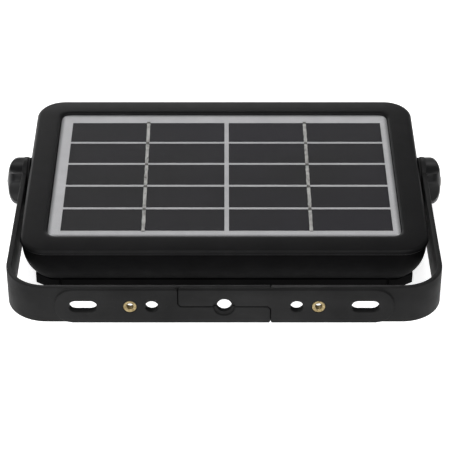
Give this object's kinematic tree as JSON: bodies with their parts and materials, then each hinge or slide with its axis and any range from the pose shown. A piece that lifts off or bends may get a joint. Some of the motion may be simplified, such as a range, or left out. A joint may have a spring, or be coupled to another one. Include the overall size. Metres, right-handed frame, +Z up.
{
  "type": "solar flood light",
  "caption": "Flat rectangular solar flood light: solar panel on top, LED window underneath, and a swivelling U bracket clamped by a knob at each end.",
  "frame": {"origin": "middle of the bounding box's bottom face, on the table that the light lies on, lens side down", "axes": "+X along the long side, +Y away from the bracket's strap towards the long side with the controls, +Z up out of the solar panel"},
  "size_m": [0.2204, 0.1646, 0.0323],
  "materials": {
    "shell_plastic": "fine matte moulded texture",
    "bracket_plastic": "smooth satin moulding",
    "knob_plastic": "satin moulding",
    "soft_rubber": "soft matt",
    "seal_rubber": "matt",
    "washer_rubber": "matt",
    "panel_backsheet": "smooth light grey",
    "panel_cover": "clear laminate with a slight haze",
    "solar_cell": "dark silicon under the laminate",
    "tinned_ribbon": "dull solder with blotches",
    "lens_clear": "clear polycarbonate",
    "reflector_white": "white, satin",
    "led_board": "white solder mask with yellow emitters",
    "battery_foil": "satin foil",
    "foam": "open foam",
    "circuit_board": "green solder mask",
    "switch_black": "matt",
    "steel": "zinc plated",
    "brass": "turned",
    "wire_red": "smooth insulation",
    "wire_black": "smooth insulation"
  },
  "bodies": {
    "head": {"lower_housing": "shell_plastic", "bezel_shell": "shell_plastic", "housing_gasket": "seal_rubber", "panel_board": "panel_backsheet", "panel_cover": "panel_cover", "solar_cell_1": "solar_cell", "solar_cell_2": "solar_cell", "solar_cell_3": "solar_cell", "solar_cell_4": "solar_cell", "solar_cell_5": "solar_cell", "solar_cell_6": "solar_cell", "solar_cell_7": "solar_cell", "solar_cell_8": "solar_cell", "solar_cell_9": "solar_cell", "solar_cell_10": "solar_cell", "panel_ribbon_left": "tinned_ribbon", "panel_ribbon_right": "tinned_ribbon", "lens_frame": "shell_plastic", "lens": "lens_clear", "lens_gasket": "seal_rubber", "reflector": "reflector_white", "led_board": "led_board", "frame_screw_1": "steel", "frame_screw_2": "steel", "frame_screw_3": "steel", "frame_screw_4": "steel", "frame_screw_5": "steel", "frame_screw_6": "steel", "frame_screw_7": "steel", "frame_screw_8": "steel", "foam_pad": "foam", "battery_pack": "battery_foil", "control_board": "circuit_board", "usb_socket": "steel", "tact_switch": "switch_black", "indicator_light_pipe": "lens_clear", "panel_wire_red": "wire_red", "panel_wire_black": "wire_black", "battery_wire_red": "wire_red", "battery_wire_black": "wire_black", "led_wire_red": "wire_red", "led_wire_black": "wire_black", "left_nut": "steel", "right_nut": "steel", "left_washer": "washer_rubber", "right_washer": "washer_rubber"},
    "bracket": {"bracket_left": "bracket_plastic", "bracket_right": "bracket_plastic", "bracket_insert_left": "brass", "bracket_insert_right": "brass"},
    "knob_left": {"left_knob": "knob_plastic", "left_bolt": "steel", "left_knob_washer": "steel"},
    "knob_right": {"right_knob": "knob_plastic", "right_bolt": "steel", "right_knob_washer": "steel"},
    "button": {"power_button": "soft_rubber"},
    "flap": {"port_cover": "soft_rubber"}
  },
  "joints": [
    {"name": "bracket_swivel", "type": "hinge", "parent": "head", "child": "bracket", "pos_m": [0, 0.02621, 0.017], "axis": [-1, 0, 0], "continuous": true},
    {"name": "left_knob_turn", "type": "hinge", "parent": "bracket", "child": "knob_left", "pos_m": [-0.10149, 0.02621, 0.017], "axis": [-1, 0, 0], "range_deg": [0, 270]},
    {"name": "right_knob_turn", "type": "hinge", "parent": "bracket", "child": "knob_right", "pos_m": [0.10149, 0.02621, 0.017], "axis": [1, 0, 0], "range_deg": [0, 270]},
    {"name": "power_button_press", "type": "slide", "parent": "head", "child": "button", "axis": [0, -1, 0], "range_m": [0, 0.001], "stiffness_N_per_m": 800, "springref_m": -0.001},
    {"name": "port_cover_flap", "type": "hinge", "parent": "head", "child": "flap", "pos_m": [-0.029, 0.07481, 0.0155], "axis": [0, 0, 1], "range_deg": [0, 90]}
  ]
}
